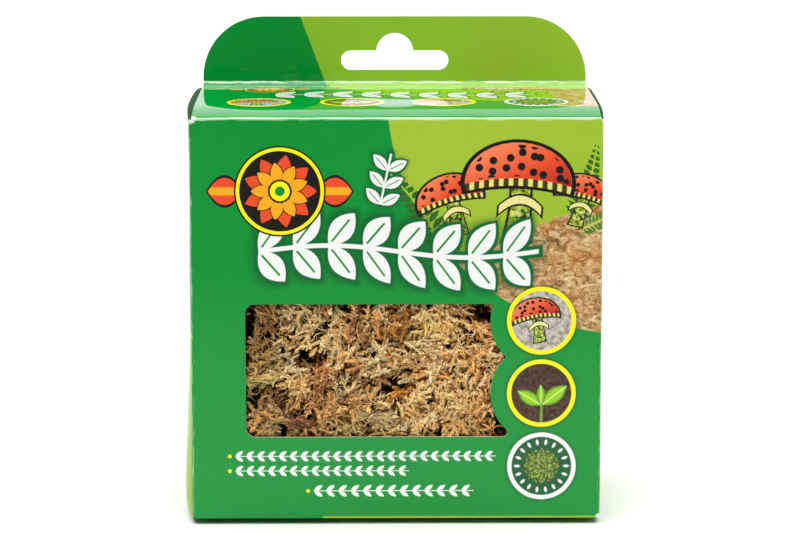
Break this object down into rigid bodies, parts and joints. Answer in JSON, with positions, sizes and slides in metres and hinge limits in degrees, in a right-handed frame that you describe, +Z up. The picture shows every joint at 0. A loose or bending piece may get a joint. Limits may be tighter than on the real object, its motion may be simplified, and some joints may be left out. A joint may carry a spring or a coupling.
{
  "type": "windowed hang-tab carton of dried sphagnum moss",
  "caption": "Folded board carton with a hang tab and a scalloped window in its front, packed with dried sphagnum moss.",
  "frame": {"origin": "middle of the carton's base, at the lowest point of the whole object", "axes": "+Z up through the carton to the hang tab, -Y out of the windowed front, +X to the right when facing the front"},
  "size_m": [0.1384, 0.0762, 0.1595],
  "materials": {
    "printed_green_board": "glossy printed board",
    "printed_lime_board": "glossy printed board",
    "plain_board_inside": "matt uncoated board",
    "dried_moss": "matt dry plant fibre"
  },
  "bodies": {
    "root": {"front_panel": "printed_green_board", "back_panel": "printed_green_board", "left_side_panel": "printed_lime_board", "right_side_panel": "printed_lime_board", "top_panel": "printed_green_board", "hang_tab": "printed_lime_board", "top_dust_flap_left": "plain_board_inside", "top_dust_flap_right": "plain_board_inside", "bottom_dust_flap_left": "plain_board_inside", "bottom_dust_flap_right": "plain_board_inside", "bottom_inner_flap": "printed_green_board", "bottom_outer_flap": "printed_green_board", "glue_flap": "plain_board_inside", "moss_clump": "dried_moss"}
  },
  "joints": []
}
